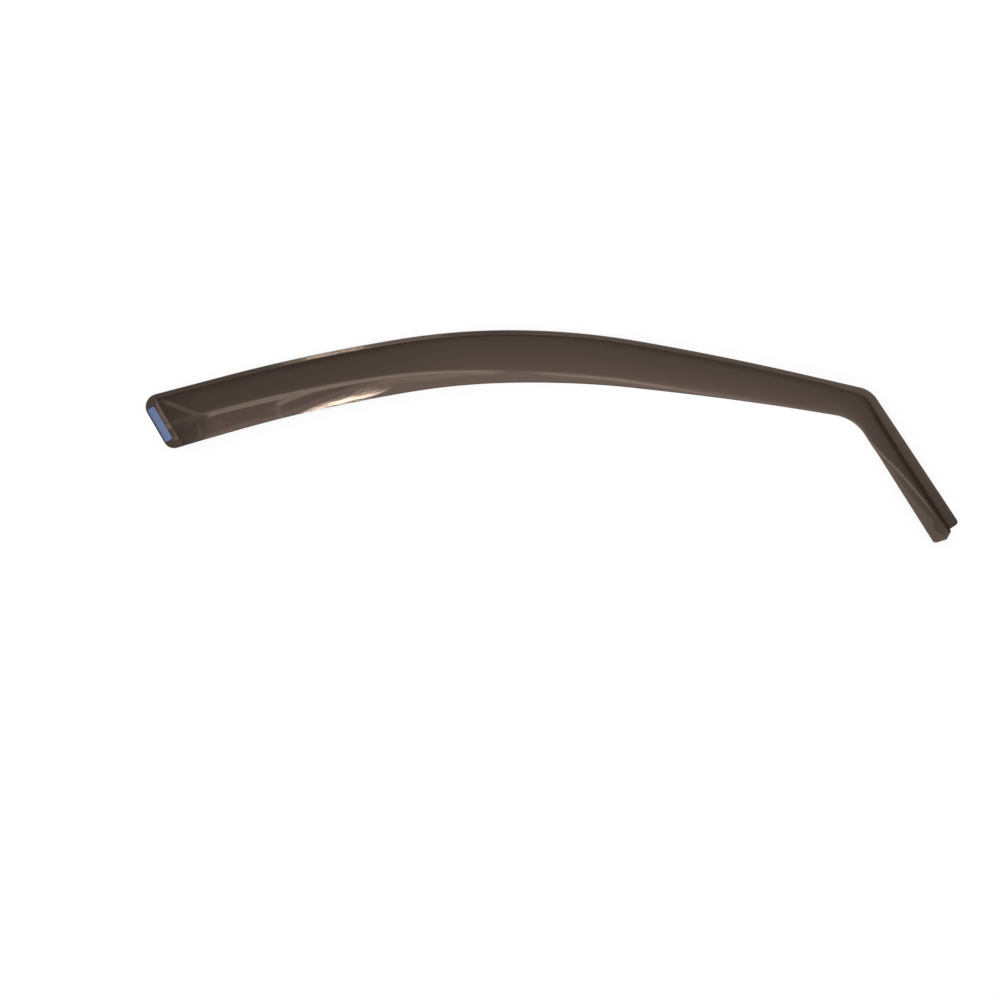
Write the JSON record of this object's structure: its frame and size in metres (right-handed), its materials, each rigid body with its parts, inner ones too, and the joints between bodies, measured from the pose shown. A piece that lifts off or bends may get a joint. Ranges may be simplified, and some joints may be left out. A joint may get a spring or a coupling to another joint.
{
  "type": "window rain deflector",
  "caption": "Long arched band of smoked acrylic with a bent-down front leg, a flat flange round its outer edge and a short taped pad at the rear, for a car's front door window.",
  "frame": {"origin": "middle of the part's box, on the surface that it lies on, inner side down", "axes": "+X towards the front leg, +Y towards the top edge, +Z out of the visor's outer face"},
  "size_m": [0.8524, 0.2232, 0.0233],
  "materials": {
    "smoked_acrylic": "gloss",
    "black_foam": "matte",
    "blue_liner": "satin"
  },
  "bodies": {
    "root": {"deflector_shell": "smoked_acrylic", "foam_tape": "black_foam", "release_liner": "blue_liner"}
  },
  "joints": []
}
